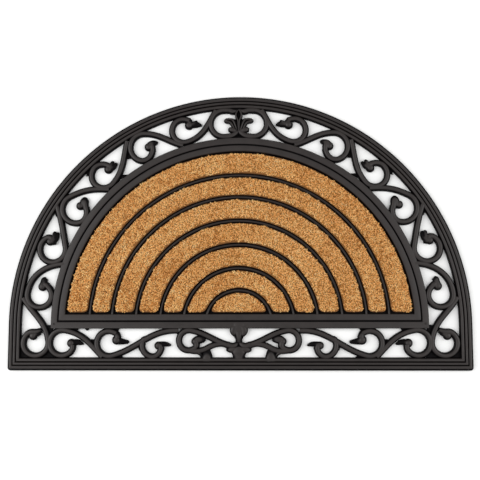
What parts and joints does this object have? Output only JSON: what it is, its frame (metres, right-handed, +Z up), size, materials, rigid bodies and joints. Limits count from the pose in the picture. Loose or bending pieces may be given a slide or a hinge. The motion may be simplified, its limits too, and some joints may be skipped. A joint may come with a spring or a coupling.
{
  "type": "half-round coir doormat",
  "caption": "half-round doormat: a black rubber moulding with an openwork scroll border, stepped inner frame and concentric ridges, with coir pile fields between them",
  "frame": {"origin": "centre of the mat's bounding box in plan, on the floor that its flat underside rests on", "axes": "+X along the straight edge, +Y from the straight edge towards the top of the arch, +Z up out of the pile"},
  "size_m": [0.75, 0.45, 0.0145],
  "materials": {
    "black_rubber": "moulded, satin",
    "coir_pile": "coarse upright coconut fibre pile"
  },
  "bodies": {
    "root": {"rubber_mat": "black_rubber", "coir_band_1": "coir_pile", "coir_band_2": "coir_pile", "coir_band_3": "coir_pile", "coir_band_4": "coir_pile", "coir_band_5": "coir_pile", "coir_band_6": "coir_pile", "coir_centre": "coir_pile"}
  },
  "joints": []
}
